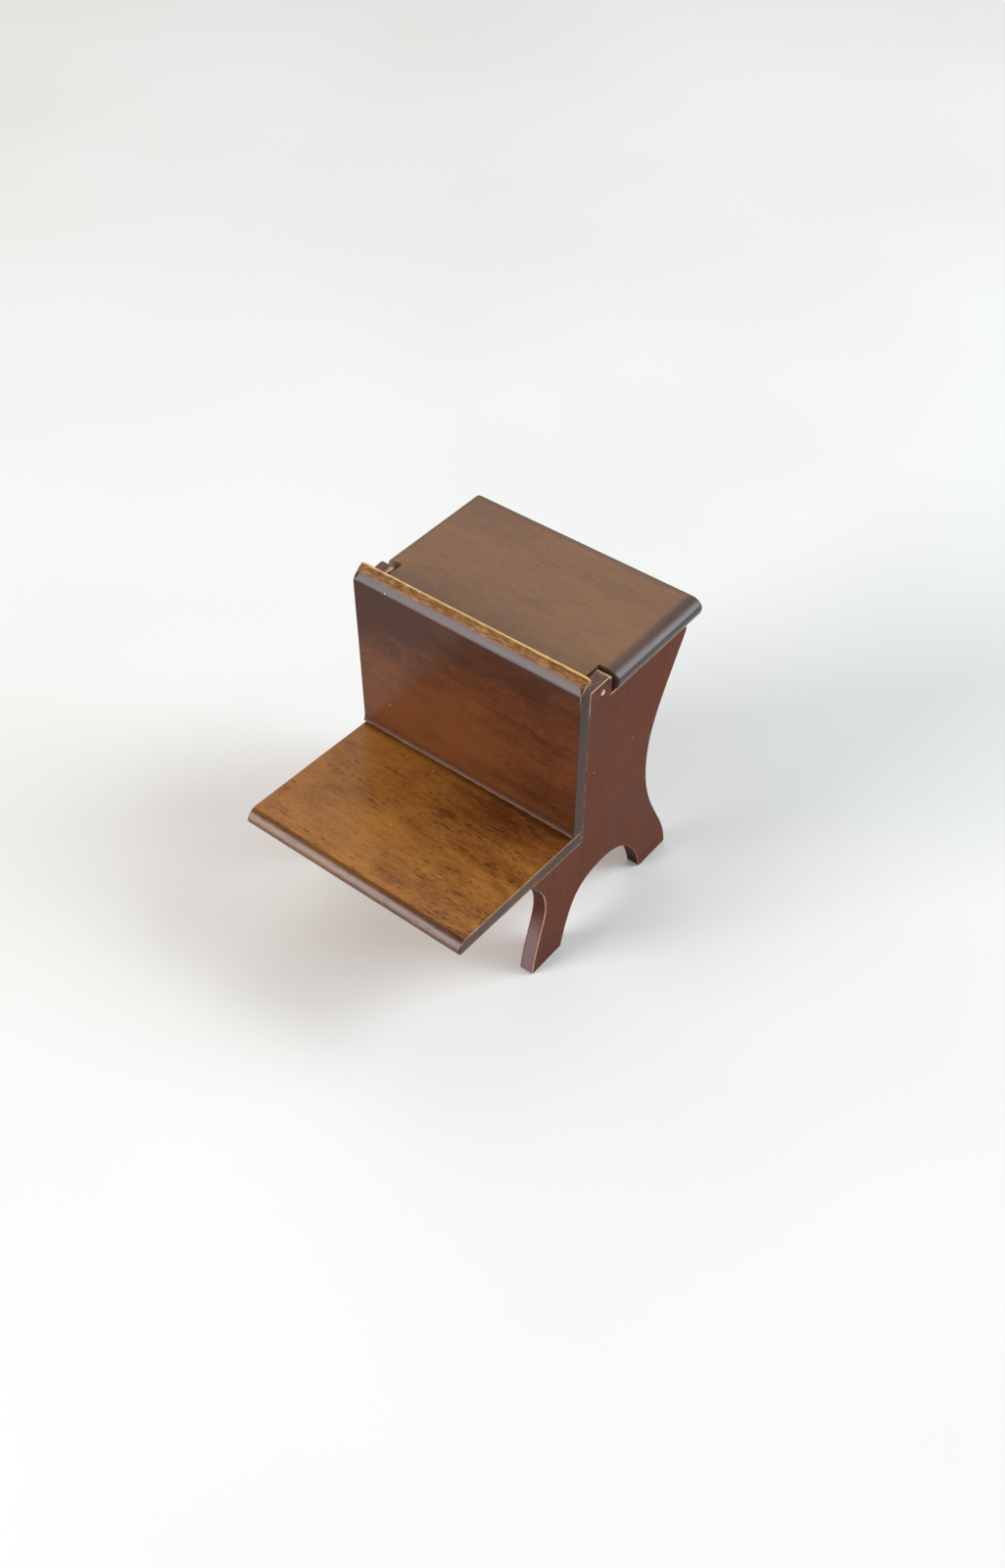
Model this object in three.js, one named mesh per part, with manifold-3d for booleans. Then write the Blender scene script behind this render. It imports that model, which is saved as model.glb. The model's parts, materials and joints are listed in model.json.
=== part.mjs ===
// A dolls' house school desk: a fixed seat in front of an upright back board, and behind that
// board a desk box between two shaped side panels, closed by a lid that lifts on two pins.
// Millimetres, +Z up, +Y to the rear, origin at the middle of the footprint on the floor.
import * as THREE from "three";
import { mergeVertices } from "three/addons/utils/BufferGeometryUtils.js";
import Module from "manifold-3d";

const wasm = await Module();
wasm.setup();

// Driving dimensions. Y is counted from the front face of the backrest, Z from the floor.
const WIDTH = 56; // over the side panels
const BOARD = 3.3; // thickness of the side panels
const GLUE_GAP = 0.05; // glue line between two fixed boards

const BACKREST_THICKNESS = 3.1;
const BACKREST_FOOT = 31.85;
const BACKREST_TOP = 73.2;
const BACKREST_ROUND = 2.3;
const BACKREST_EASE = 0.35;

const SEAT_FRONT = -36.3;
const SEAT_THICKNESS = 3.3;
const SEAT_TOP_AT_BACKREST = 31.5;
const SEAT_RISE = 0.039; // the seat climbs this much for each millimetre towards its front
const SEAT_ROUND = 2.5;

const PANEL_FRONT = BACKREST_THICKNESS + GLUE_GAP;
const PANEL_TOP = 64;
const EAR_TOP = 68.9;
const EAR_REAR = 10.2;
const EAR_ROUND = 1; // lets the lid's shoulder swing past
const WAIST = 25.6; // the narrowest place of the rear edge
const WAIST_HEIGHT = 35;
const TOE = -12.9;
const HEEL = 36.5;
const FOOT_LENGTH = 10;
const ARCH_HEIGHT = 15.8;
const ARCH_CROWN = 11; // where the arch between the feet is highest
const LEDGE_FRONT = -13.6; // the seat rests on the panel from here to the backrest
const FRONT_WAIST = -8.8;
const FRONT_WAIST_HEIGHT = 18;
const PANEL_REAR = 36.2;
const REAR_CORNER = 1.6; // where the rear edge turns into the panel's top, below it
const REAR_CORNER_PULL = 0.9; // and in front of it

// Bezier handles of the side panel's curved edges, each as [y, z]
const ARCH_FRONT_HANDLES = [[0, 11.5], [1.9, ARCH_HEIGHT]];
const ARCH_REAR_HANDLES = [[19, ARCH_HEIGHT], [24.5, 9]];
const REAR_LOWER_HANDLES = [[35.6, 10.5], [25.3, 18.5]];
const REAR_UPPER_HANDLES = [[25.7, 44], [30.2, 51]];
const FRONT_UPPER_HANDLES = [[-11.2, 25.5], [FRONT_WAIST, 22.5]];
const FRONT_LOWER_HANDLES = [[FRONT_WAIST, 13.5], [-11.7, 9]];

const LID_REAR = 39.35;
const LID_SHOULDER = 11; // the full-width part starts here, behind the ears
const LID_HALF_WIDTH = 29.2;
const LID_THICKNESS = 4.8;
const LID_REST_GAP = 0.1;
const TONGUE_HALF_WIDTH = 24.2;
const TONGUE_REACH = 1.6; // the nose's centre lies this far in front of the hinge
const TONGUE_OVERLAP = 2; // how far the tongue runs into the wide part

const HINGE_Y = 7.4;
const HINGE_Z = 66.2;
const PIN_RADIUS = 0.7;
const PIN_LENGTH = 10;
const PIN_PROUD = 0.12;
const PIN_FIT = 0.02; // the pin is driven into the ear
const PIN_PLAY = 0.08; // and the lid turns on it
const PIN_TAPER = 1.2;
const PIN_TIP = 0.25; // radius of the buried tip
const PIN_DOME = 0.14;
const PIN_SIDES = 32;
const BORE_ROOM = 0.3; // the bore in the lid is this much deeper than the pin
const CUT_PAST = 1; // how far a cutter reaches outside the wood

const FLOOR_TOP = 52.6;
const FLOOR_THICKNESS = 3;
const REAR_BOARD_FRONT = 25.4;
const REAR_BOARD_THICKNESS = 3;

const HALF_WIDTH = WIDTH / 2;
const INNER_HALF_WIDTH = HALF_WIDTH - BOARD;
const LID_UNDERSIDE = PANEL_TOP + LID_REST_GAP;
const LID_TOP = LID_UNDERSIDE + LID_THICKNESS;
const MIDDLE_Y = (SEAT_FRONT + LID_REAR) / 2;

const seatTop = (y) => SEAT_TOP_AT_BACKREST - SEAT_RISE * y;
const seatUnderside = (y) => seatTop(y) - SEAT_THICKNESS;

// Materials
const wood = (color, roughness) => new THREE.MeshStandardMaterial({ color, roughness, metalness: 0 });
const lidWood = wood(0x96623f, 0.5);
const seatWood = wood(0x8a5324, 0.45);
const backrestWood = wood(0x64301a, 0.45);
const panelWood = wood(0x6b4438, 0.6);
const innerWood = wood(0x8c6a48, 0.75);
const pinMetal = new THREE.MeshStandardMaterial({ color: 0xcdb9a4, roughness: 0.35, metalness: 1 });

// Solids, for the pieces that are cut or joined
function solidFrom(geometry) {
  const bare = geometry.clone();
  bare.deleteAttribute("normal");
  bare.deleteAttribute("uv");
  const merged = mergeVertices(bare, 1e-4);
  const triVerts = merged.index
    ? new Uint32Array(merged.index.array)
    : Uint32Array.from({ length: merged.attributes.position.count }, (_, i) => i);
  const vertProperties = new Float32Array(merged.attributes.position.array);
  return new wasm.Manifold(new wasm.Mesh({ numProp: 3, vertProperties, triVerts }));
}

function geometryFrom(solid) {
  const mesh = solid.getMesh();
  const positions = new Float32Array(mesh.numVert * 3);
  for (let i = 0; i < mesh.numVert; i += 1) {
    const start = i * mesh.numProp;
    positions.set(mesh.vertProperties.subarray(start, start + 3), i * 3);
  }
  const indexed = new THREE.BufferGeometry();
  indexed.setAttribute("position", new THREE.BufferAttribute(positions, 3));
  indexed.setIndex(new THREE.BufferAttribute(mesh.triVerts, 1));
  const flat = indexed.toNonIndexed();
  flat.computeVertexNormals();
  return flat;
}

// A side view (Y across, Z up), swept from xLow to xHigh.
function sweepSideView(shape, xLow, xHigh, curveSegments = 12) {
  const geometry = new THREE.ExtrudeGeometry(shape, {
    depth: xHigh - xLow,
    bevelEnabled: false,
    curveSegments,
  });
  const toSideView = new THREE.Matrix4().makeBasis(
    new THREE.Vector3(0, 1, 0),
    new THREE.Vector3(0, 0, 1),
    new THREE.Vector3(1, 0, 0),
  );
  return geometry.applyMatrix4(toSideView).translate(xLow, 0, 0);
}

// An end view (X across, Z up), swept from yLow to yHigh.
function sweepEndView(shape, yLow, yHigh, curveSegments = 12) {
  const geometry = new THREE.ExtrudeGeometry(shape, {
    depth: yHigh - yLow,
    bevelEnabled: false,
    curveSegments,
  });
  return geometry.rotateX(Math.PI / 2).translate(0, yHigh, 0);
}

function board(xSize, yLow, yHigh, zLow, zHigh) {
  const geometry = new THREE.BoxGeometry(xSize, yHigh - yLow, zHigh - zLow);
  return geometry.translate(0, (yLow + yHigh) / 2, (zLow + zHigh) / 2);
}

// A round bar on the hinge axis, from xLow to xHigh.
function hingeBar(radius, xLow, xHigh) {
  const bar = new THREE.CylinderGeometry(radius, radius, xHigh - xLow, PIN_SIDES);
  return bar.rotateZ(Math.PI / 2).translate((xLow + xHigh) / 2, HINGE_Y, HINGE_Z);
}

// Side panels: one outline, with curved edges between straight feet, ledge, ear and top.
function curveTo(shape, handles, y, z) {
  const [first, second] = handles;
  shape.bezierCurveTo(first[0], first[1], second[0], second[1], y, z);
}

function panelOutline() {
  const shape = new THREE.Shape();
  shape.moveTo(TOE, 0);
  shape.lineTo(TOE + FOOT_LENGTH, 0);
  curveTo(shape, ARCH_FRONT_HANDLES, ARCH_CROWN, ARCH_HEIGHT);
  curveTo(shape, ARCH_REAR_HANDLES, HEEL - FOOT_LENGTH, 0);
  shape.lineTo(HEEL, 0);
  curveTo(shape, REAR_LOWER_HANDLES, WAIST, WAIST_HEIGHT);
  curveTo(shape, REAR_UPPER_HANDLES, PANEL_REAR, PANEL_TOP - REAR_CORNER);
  shape.quadraticCurveTo(HEEL, PANEL_TOP, PANEL_REAR - REAR_CORNER_PULL, PANEL_TOP);
  shape.lineTo(EAR_REAR, PANEL_TOP);
  shape.absarc(EAR_REAR - EAR_ROUND, EAR_TOP - EAR_ROUND, EAR_ROUND, 0, Math.PI / 2);
  shape.lineTo(PANEL_FRONT, EAR_TOP);
  shape.lineTo(PANEL_FRONT, seatUnderside(PANEL_FRONT) - GLUE_GAP);
  shape.lineTo(LEDGE_FRONT, seatUnderside(LEDGE_FRONT) - GLUE_GAP);
  curveTo(shape, FRONT_UPPER_HANDLES, FRONT_WAIST, FRONT_WAIST_HEIGHT);
  curveTo(shape, FRONT_LOWER_HANDLES, TOE, 0);
  return shape;
}

function sidePanel(side) {
  const outer = side * HALF_WIDTH;
  const inner = side * INNER_HALF_WIDTH;
  const xLow = Math.min(outer, inner);
  const xHigh = Math.max(outer, inner);
  const blank = solidFrom(sweepSideView(panelOutline(), xLow, xHigh));
  const bore = solidFrom(hingeBar(PIN_RADIUS + PIN_FIT, xLow - CUT_PAST, xHigh + CUT_PAST));
  return geometryFrom(blank.subtract(bore));
}

// Backrest: an upright board on the seat, rounded over along its top front edge.
function backrest() {
  const shape = new THREE.Shape();
  shape.moveTo(BACKREST_THICKNESS, BACKREST_FOOT);
  shape.lineTo(BACKREST_THICKNESS, BACKREST_TOP);
  shape.lineTo(BACKREST_ROUND, BACKREST_TOP);
  shape.absarc(BACKREST_ROUND, BACKREST_TOP - BACKREST_ROUND, BACKREST_ROUND, Math.PI / 2, Math.PI);
  shape.lineTo(0, BACKREST_FOOT + BACKREST_EASE);
  shape.lineTo(BACKREST_EASE, BACKREST_FOOT);
  return sweepSideView(shape, -HALF_WIDTH, HALF_WIDTH);
}

// Seat: a board that climbs a little to its rounded front edge.
function seat() {
  const top = seatTop(SEAT_FRONT);
  const shape = new THREE.Shape();
  shape.moveTo(SEAT_FRONT, seatUnderside(SEAT_FRONT));
  shape.lineTo(BACKREST_THICKNESS, seatUnderside(BACKREST_THICKNESS));
  shape.lineTo(BACKREST_THICKNESS, seatTop(BACKREST_THICKNESS));
  shape.lineTo(SEAT_FRONT + SEAT_ROUND, seatTop(SEAT_FRONT + SEAT_ROUND));
  shape.absarc(SEAT_FRONT + SEAT_ROUND, top - SEAT_ROUND, SEAT_ROUND, Math.PI / 2, Math.PI);
  return sweepSideView(shape, -HALF_WIDTH, HALF_WIDTH);
}

// Lid: a wide part with rounded side edges, and a tongue between the ears whose rounded
// front edge turns clear of the backrest.
function lidWidePart() {
  const radius = LID_THICKNESS / 2;
  const middle = (LID_TOP + LID_UNDERSIDE) / 2;
  const centre = LID_HALF_WIDTH - radius;
  const shape = new THREE.Shape();
  shape.moveTo(-centre, LID_UNDERSIDE);
  shape.lineTo(centre, LID_UNDERSIDE);
  shape.absarc(centre, middle, radius, -Math.PI / 2, Math.PI / 2);
  shape.lineTo(-centre, LID_TOP);
  shape.absarc(-centre, middle, radius, Math.PI / 2, Math.PI * 1.5);
  return sweepEndView(shape, LID_SHOULDER, LID_REAR, 16);
}

function lidTongue() {
  const radius = LID_THICKNESS / 2;
  const middle = (LID_TOP + LID_UNDERSIDE) / 2;
  const noseCentre = HINGE_Y - TONGUE_REACH;
  const shape = new THREE.Shape();
  shape.moveTo(LID_SHOULDER + TONGUE_OVERLAP, LID_UNDERSIDE);
  shape.lineTo(LID_SHOULDER + TONGUE_OVERLAP, LID_TOP);
  shape.lineTo(noseCentre, LID_TOP);
  shape.absarc(noseCentre, middle, radius, Math.PI / 2, Math.PI * 1.5);
  return sweepSideView(shape, -TONGUE_HALF_WIDTH, TONGUE_HALF_WIDTH, 16);
}

function lid() {
  const boreEnd = HALF_WIDTH + PIN_PROUD - PIN_LENGTH - BORE_ROOM;
  const leftBore = hingeBar(PIN_RADIUS + PIN_PLAY, -HALF_WIDTH, -boreEnd);
  const rightBore = hingeBar(PIN_RADIUS + PIN_PLAY, boreEnd, HALF_WIDTH);
  const whole = solidFrom(lidWidePart()).add(solidFrom(lidTongue()));
  return geometryFrom(whole.subtract(solidFrom(leftBore)).subtract(solidFrom(rightBore)));
}

// Hinge pins: plain wire nails, domed outside and tapered at the buried end.
function hingePin() {
  const profile = [
    new THREE.Vector2(0, 0),
    new THREE.Vector2(PIN_TIP, 0),
    new THREE.Vector2(PIN_RADIUS, PIN_TAPER),
    new THREE.Vector2(PIN_RADIUS, PIN_LENGTH - PIN_DOME),
    new THREE.Vector2(PIN_RADIUS * 0.75, PIN_LENGTH - PIN_DOME * 0.3),
    new THREE.Vector2(0, PIN_LENGTH),
  ];
  return new THREE.LatheGeometry(profile, PIN_SIDES);
}

function placePin(mesh, side) {
  mesh.rotation.z = -side * (Math.PI / 2);
  mesh.position.set(side * (HALF_WIDTH + PIN_PROUD - PIN_LENGTH), HINGE_Y, HINGE_Z);
}

// Desk box: a floor and a rear board between the side panels.
function compartmentFloor() {
  const width = 2 * (INNER_HALF_WIDTH - GLUE_GAP);
  const rear = REAR_BOARD_FRONT - GLUE_GAP;
  return board(width, PANEL_FRONT, rear, FLOOR_TOP - FLOOR_THICKNESS, FLOOR_TOP);
}

function rearBoard() {
  const width = 2 * (INNER_HALF_WIDTH - GLUE_GAP);
  const rear = REAR_BOARD_FRONT + REAR_BOARD_THICKNESS;
  return board(width, REAR_BOARD_FRONT, rear, FLOOR_TOP - FLOOR_THICKNESS, PANEL_TOP);
}

function addPart(group, name, geometry, material) {
  const mesh = new THREE.Mesh(geometry, material);
  mesh.name = name;
  group.add(mesh);
  return mesh;
}

const desk = new THREE.Group();
desk.position.y = -MIDDLE_Y;
addPart(desk, "left_side_panel", sidePanel(-1), panelWood);
addPart(desk, "right_side_panel", sidePanel(1), panelWood);
addPart(desk, "backrest", backrest(), backrestWood);
addPart(desk, "seat", seat(), seatWood);
addPart(desk, "lid", lid(), lidWood);
placePin(addPart(desk, "left_hinge_pin", hingePin(), pinMetal), -1);
placePin(addPart(desk, "right_hinge_pin", hingePin(), pinMetal), 1);
addPart(desk, "compartment_floor", compartmentFloor(), innerWood);
addPart(desk, "rear_board", rearBoard(), innerWood);

export default desk;
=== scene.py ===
"""A dolls' house school desk in walnut-stained wood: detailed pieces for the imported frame.

Shapes are worked out in millimetres, with X and Z as in the frame and Y counted from the
backrest's front face, and turned into metres of the row frame when a mesh is made.
"""

import json
import math

import bmesh
import bpy
import numpy as np
from mathutils import Matrix, Vector, noise
from mathutils.geometry import delaunay_2d_cdt


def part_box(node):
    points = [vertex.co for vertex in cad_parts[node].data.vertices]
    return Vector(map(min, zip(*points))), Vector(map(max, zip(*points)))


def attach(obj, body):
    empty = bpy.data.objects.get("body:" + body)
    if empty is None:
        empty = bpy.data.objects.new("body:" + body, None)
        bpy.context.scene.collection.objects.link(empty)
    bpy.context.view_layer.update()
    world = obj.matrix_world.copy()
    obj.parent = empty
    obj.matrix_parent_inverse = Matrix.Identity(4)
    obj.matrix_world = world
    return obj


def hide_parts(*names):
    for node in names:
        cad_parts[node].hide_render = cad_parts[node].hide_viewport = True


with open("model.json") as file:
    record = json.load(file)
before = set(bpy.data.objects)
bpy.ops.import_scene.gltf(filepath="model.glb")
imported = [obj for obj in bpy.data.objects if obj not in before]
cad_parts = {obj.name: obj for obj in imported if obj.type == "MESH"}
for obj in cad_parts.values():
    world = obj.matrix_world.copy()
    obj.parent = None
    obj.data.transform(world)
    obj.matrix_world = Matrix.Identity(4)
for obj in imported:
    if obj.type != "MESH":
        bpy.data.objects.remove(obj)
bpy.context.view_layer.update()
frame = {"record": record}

MM = 0.001

noise.seed_set(1)  # without it noise_vector would draw new offsets in every run

# ---------------------------------------------------------------- places read from the frame


def node_box(name):
    """Lowest and highest corner of a CAD node in millimetres, with Y still as in the row frame."""
    low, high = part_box(name)
    return np.array(low) / MM, np.array(high) / MM


BACKREST_LOW, BACKREST_HIGH = node_box("backrest")
SEAT_LOW, SEAT_HIGH = node_box("seat")
PANEL_LOW, PANEL_HIGH = node_box("right_side_panel")
LID_LOW, LID_HIGH = node_box("lid")
FLOOR_LOW, FLOOR_HIGH = node_box("compartment_floor")
REAR_LOW, REAR_HIGH = node_box("rear_board")
PIN_LOW, PIN_HIGH = node_box("right_hinge_pin")

Y_ZERO = BACKREST_LOW[1]  # the backrest's front face, from which Y is counted below
HALF_WIDTH = BACKREST_HIGH[0]
INNER_HALF_WIDTH = PANEL_LOW[0]
BACKREST_REAR = BACKREST_HIGH[1] - Y_ZERO
BACKREST_FOOT = BACKREST_LOW[2]
SEAT_REAR = SEAT_HIGH[1] - Y_ZERO
LID_MIDDLE = (LID_HIGH[2] + LID_LOW[2]) / 2
PIN_LENGTH = PIN_HIGH[0] - PIN_LOW[0]
JOINT = frame["record"]["behaviour"]["joints"][0]
HINGE_Y = JOINT["pos_m"][1] / MM - Y_ZERO
HINGE_Z = JOINT["pos_m"][2] / MM

# ---------------------------------------------------------------- shapes, in millimetres

ARRIS = 0.2  # rounding of the boards' edges
BOARD_STEP = 1.3  # size of the mesh on the faces
PANEL_STEP = 0.8  # and through the side panels' thickness
EDGE_STEPS = (0.1, 0.25, 0.5, 1.0)  # extra points near a corner, by distance from it

PANEL_TOP = 64
EAR_REAR = 10.2
LEFT_EAR_REAR = 9.4  # the left ear was cut a little shorter
LEFT_EAR_EXTRA = 0.7  # and this much higher at its rear, so that the lid still swings over it
EAR_ROUND = 0.8
LEFT_EAR_ROUND = 1.2
LEFT_LEAN = 0.7  # and the left end leans this much outwards at the ear's height
TOE = -12.9
HEEL = 36.5
FOOT_LENGTH = 10
FOOT_ROUND = 0.35
ARCH_FOOT_ROUND = 0.3
ARCH_HEIGHT = 15.8
ARCH_CROWN = (11, ARCH_HEIGHT)
WAIST = (25.6, 35)
FRONT_WAIST = (-8.8, 18)
PANEL_REAR = 36.2
REAR_CORNER = ((0.1, 0.5), (-0.2, 0.1), (-0.9, 0))  # points past PANEL_REAR and below PANEL_TOP
# the two handles, as (Y, Z), that shape each curve of the side panels
ARCH_FRONT = ((0, 11.5), (1.9, ARCH_HEIGHT))
ARCH_REAR = ((19, ARCH_HEIGHT), (24.5, 9))
REAR_LEG = ((35.6, 10.5), (25.3, 18.5))
REAR_SIDE = ((25.7, 44), (30.2, 51))
LEDGE_SIDE = ((-11.2, 25.5), (-8.8, 22.5))
FRONT_LEG = ((-8.8, 13.5), (-11.7, 9))

SEAT_THICKNESS = 3.3
SEAT_RISE = 0.039
SEAT_FRONT_EXTRA = 0.4  # it comes forward by this much more
SEAT_FRONT = SEAT_LOW[1] - Y_ZERO - SEAT_FRONT_EXTRA
SEAT_NOSE = (2.3, 2.0)  # how far back and how far down its front edge is rounded
NOSE_CURVE = ((0.55, 0.04), (0.2, 0.56))  # shares of those two that shape the curve
SEAT_UNDER = 1.1  # rounding of its lower front edge
CROWN = (2.95, 3.0)  # how far back and down the backrest's top edge is rounded
CROWN_CURVE = ((0.57, 0.1), (0.13, 0.66))
CROWN_END = 1.2  # its two ends are rounded off over this length
CROWN_END_FALL = 0.6  # and fall by this much
CROWN_DROP = 0.3  # the whole top edge is this much lower
CROWN_TOP = BACKREST_HIGH[2] - CROWN_DROP
FLARE_HEIGHT = 2.1  # the backrest's foot spreads a little where it meets the seat
FLARE_DEPTH = 0.5
FLARE_GAP = 0.12
FLARE_TIP = (-FLARE_DEPTH, BACKREST_FOOT + FLARE_GAP)
GLUE_GAP = 0.05

LID_SHOULDER = 11
TONGUE_RIGHT = 24.2
TONGUE_LEFT = 25.2  # the tongue fits closer on the left, where the ear leans away
LID_CORNER = 0.35  # plan rounding of the lid's corners
LID_EDGE = 0.55  # rounding of its plain edges
TONGUE_EASE = 0.3  # the share of it around the tongue
LID_RADIUS = (LID_HIGH[2] - LID_LOW[2]) / 2
LID_ROLL = 3.55  # how far in from its right side the top starts to roll over
LID_ROLL_LEFT = 2.0
LID_ROLL_DROP = 1.95  # how far below the top the roll-over is upright
LID_UNDER = 2.1  # rounding of its sides below that
LID_REAR_EXTRA = 0.3  # its rear edge stands proud by this much
LID_REAR = LID_HIGH[1] - Y_ZERO + LID_REAR_EXTRA
LID_BORE = 0.78
LID_BORE_SIDES = 32

PIN_RADIUS = 0.7
PIN_BORE = 0.72
PIN_BORE_SIDES = 28
PIN_BORE_FLARE = 0.35  # the share of an end's rounding by which the hole widens there
PIN_SIDES = 40
PIN_TIP = ((0.12, 0.0), (0.25, 0.05), (0.5, 0.7), (0.66, 1.15))  # radius, and distance from its end
PIN_SHANK = (1.4, 4.0, 7.0)
PIN_DOME = 0.16
PIN_DOME_BACK = 0.02  # the domed end lies this much inside the pin's length

INNER_ARRIS = 0.15  # rounding of the desk box's boards
INNER_CORNER = 0.18
INNER_STEP = 2.0


def smoothstep(low, high, value):
    t = np.clip((value - low) / (high - low), 0.0, 1.0)
    return t * t * (3 - 2 * t)


def bezier(start, first, second, end, count=22):
    """Points of a cubic curve after its start, up to and including its end."""
    t = np.linspace(0, 1, count + 1)[1:, None]
    start, first, second, end = (np.array(p, float) for p in (start, first, second, end))
    return list(
        start * (1 - t) ** 3 + 3 * first * t * (1 - t) ** 2 + 3 * second * t**2 * (1 - t) + end * t**3
    )


def curved(start, first, second, end, count=22):
    """The same points as corners of an outline, none of them rounded."""
    return [(p[0], p[1], 0) for p in bezier(start, first, second, end, count)]


def arc(centre, radius, start, end, count):
    """Points of an arc, its two ends included, with angles in degrees."""
    angles = np.radians(np.linspace(start, end, count + 1))
    return [np.array((centre[0] + radius * math.cos(a), centre[1] + radius * math.sin(a))) for a in angles]


def fillet(before, corner, after, radius, count=4):
    """Points that round one corner of an outline."""
    before, corner, after = (np.array(p, float) for p in (before, corner, after))
    one = (before - corner) / np.linalg.norm(before - corner)
    two = (after - corner) / np.linalg.norm(after - corner)
    half = math.acos(np.clip(one @ two, -1, 1)) / 2
    reach = radius / math.tan(half)
    middle = (one + two) / np.linalg.norm(one + two)
    centre = corner + middle * (radius / math.sin(half))
    low, high = corner + one * reach - centre, corner + two * reach - centre
    steps = np.linspace(0, 1, count + 1)
    turn = math.atan2(low[0] * high[1] - low[1] * high[0], low @ high)
    return [
        centre + np.array((low[0] * math.cos(turn * s) - low[1] * math.sin(turn * s),
                           low[0] * math.sin(turn * s) + low[1] * math.cos(turn * s)))
        for s in steps
    ]


def rounded(corners):
    """An outline from (y, z, rounding) corners; curved stretches come with rounding 0."""
    points = []
    for i, (y, z, radius) in enumerate(corners):
        if radius == 0:
            points.append(np.array((y, z), float))
        else:
            points += fillet(corners[i - 1][:2], (y, z), corners[(i + 1) % len(corners)][:2], radius)
    return points


def split_long(points, step=BOARD_STEP):
    """The closed outline with points added on its long straight edges, closer near their ends."""
    made = []
    for i, here in enumerate(points):
        there = points[(i + 1) % len(points)]
        length = np.linalg.norm(there - here)
        made.append(here)
        if length < step:
            continue
        near = [d for d in EDGE_STEPS if d < length / 2 - 0.2]
        inner = near[-1] if near else 0.0
        count = max(1, round((length - 2 * inner) / step))
        middle = list(np.linspace(inner, length - inner, count + 1))
        places = near[:-1] + middle + [length - d for d in reversed(near[:-1])]
        made += [here + (there - here) * (d / length) for d in places if 0 < d < length]
    return np.array(made)


def inset(loop, amount):
    """The outline moved inwards by an amount; the loop runs anticlockwise."""
    edges = np.roll(loop, -1, 0) - loop
    edges /= np.linalg.norm(edges, axis=1)[:, None]
    inward = np.stack((-edges[:, 1], edges[:, 0]), 1)
    before = np.roll(inward, 1, 0)
    both = before + inward
    both /= np.linalg.norm(both, axis=1)[:, None]
    stretch = np.clip((both * inward).sum(1), 0.6, 1)
    return loop + both * (np.asarray(amount) / stretch)[..., None]


def rounded_ends(length, radius, step=BOARD_STEP, count=4):
    """(place, inset) of every slice of a board of this length whose two ends are rounded."""
    angles = np.linspace(0, math.pi / 2, count + 1)
    end = [(radius * (1 - math.cos(a)), radius * (1 - math.sin(a))) for a in angles]
    inner = [d for d in EDGE_STEPS if radius < d < length / 2 - 0.3]
    first = inner[-1] if inner else radius
    many = max(1, round((length - 2 * first) / step))
    places = inner[:-1] + list(np.linspace(first, length - first, many + 1))
    places += [length - p for p in reversed(inner[:-1])]
    if not inner:
        places = places[1:-1]
    return end + [(p, 0.0) for p in places] + [(length - p, d) for p, d in reversed(end)]


def inside(points, loop):
    """Which points lie inside a closed outline."""
    x, y = points[:, 0:1], points[:, 1:2]
    ax, ay = loop[:, 0], loop[:, 1]
    bx, by = np.roll(ax, -1), np.roll(ay, -1)
    with np.errstate(divide="ignore", invalid="ignore"):
        crosses = ((ay > y) != (by > y)) & (x < (bx - ax) * (y - ay) / (by - ay) + ax)
    return crosses.sum(1) % 2 == 1


def distance(points, loop):
    """How far points lie from a closed outline."""
    a, b = loop, np.roll(loop, -1, 0)
    along = b - a
    length = np.maximum((along**2).sum(1), 1e-12)
    nearest = np.full(len(points), 1e9)
    for start in range(0, len(points), 400):
        p = points[start : start + 400, None, :]
        t = np.clip(((p - a) * along).sum(2) / length, 0, 1)[..., None]
        gaps = np.linalg.norm(a + along * t - p, axis=2)
        nearest[start : start + 400] = gaps.min(1)
    return nearest


def fill_face(loops, step=BOARD_STEP):
    """Extra points inside an outline with holes, and triangles over its own and those points."""
    outer = loops[0]
    edge = np.concatenate(loops)
    low, high = outer.min(0), outer.max(0)
    us, vs = np.arange(low[0], high[0], step), np.arange(low[1], high[1], step * 0.87)
    grid = np.array([(u + (step / 2 if k % 2 else 0), v) for k, v in enumerate(vs) for u in us])
    keep = inside(grid, outer)
    for hole in loops[1:]:
        keep &= ~inside(grid, hole)
    grid = grid[keep]
    for loop in loops:
        grid = grid[distance(grid, loop) > step * 0.42]
    points = np.concatenate((edge, grid))
    borders, start = [], 0
    for loop in loops:
        borders += [(start + i, start + (i + 1) % len(loop)) for i in range(len(loop))]
        start += len(loop)
    _, _, faces, origins, _, _ = delaunay_2d_cdt([Vector(p) for p in points], borders, [], 0, 1e-7)
    source = [o[0] if o else -1 for o in origins]
    triangles = [tuple(source[i] for i in face) for face in faces]
    triangles = [t for t in triangles if -1 not in t]
    middles = np.array([points[list(t)].mean(0) for t in triangles])
    keep = inside(middles, outer)
    for hole in loops[1:]:
        keep &= ~inside(middles, hole)
    return grid, [t for t, kept in zip(triangles, keep) if kept]


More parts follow.
